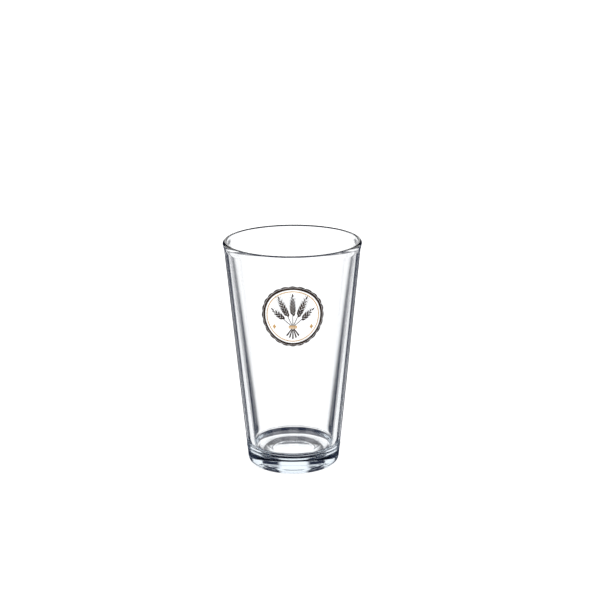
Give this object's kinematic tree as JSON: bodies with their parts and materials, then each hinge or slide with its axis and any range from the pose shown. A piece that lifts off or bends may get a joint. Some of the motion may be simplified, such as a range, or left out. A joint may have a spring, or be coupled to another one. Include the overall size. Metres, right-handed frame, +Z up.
{
  "type": "pint glass",
  "caption": "Tapered clear drinking glass with a rounded rim bead, a thick solid foot and a round two-colour enamel print on its wall.",
  "frame": {"origin": "centre of the foot, on the surface that the glass stands on", "axes": "+Z up along the glass's axis towards the rim; -Y is the side with the print; +X is to the right when facing the print"},
  "size_m": [0.0888, 0.0888, 0.1492],
  "materials": {
    "clear_glass": "clear pressed soda-lime glass, fire-polished, with a faint blue-grey tint in the thick foot",
    "dark_enamel": "dark brown screen-printed enamel, fired on, satin",
    "tan_enamel": "tan screen-printed enamel, fired on, satin"
  },
  "bodies": {
    "root": {"glass_body": "clear_glass", "print_border_ring": "dark_enamel", "print_inner_ring": "tan_enamel", "print_ear_left_outer": "dark_enamel", "print_ear_left": "dark_enamel", "print_ear_centre": "dark_enamel", "print_ear_right": "dark_enamel", "print_ear_right_outer": "dark_enamel", "print_tie_band": "tan_enamel", "print_stalks": "dark_enamel", "print_dot_left": "tan_enamel", "print_dot_right": "tan_enamel"}
  },
  "joints": []
}
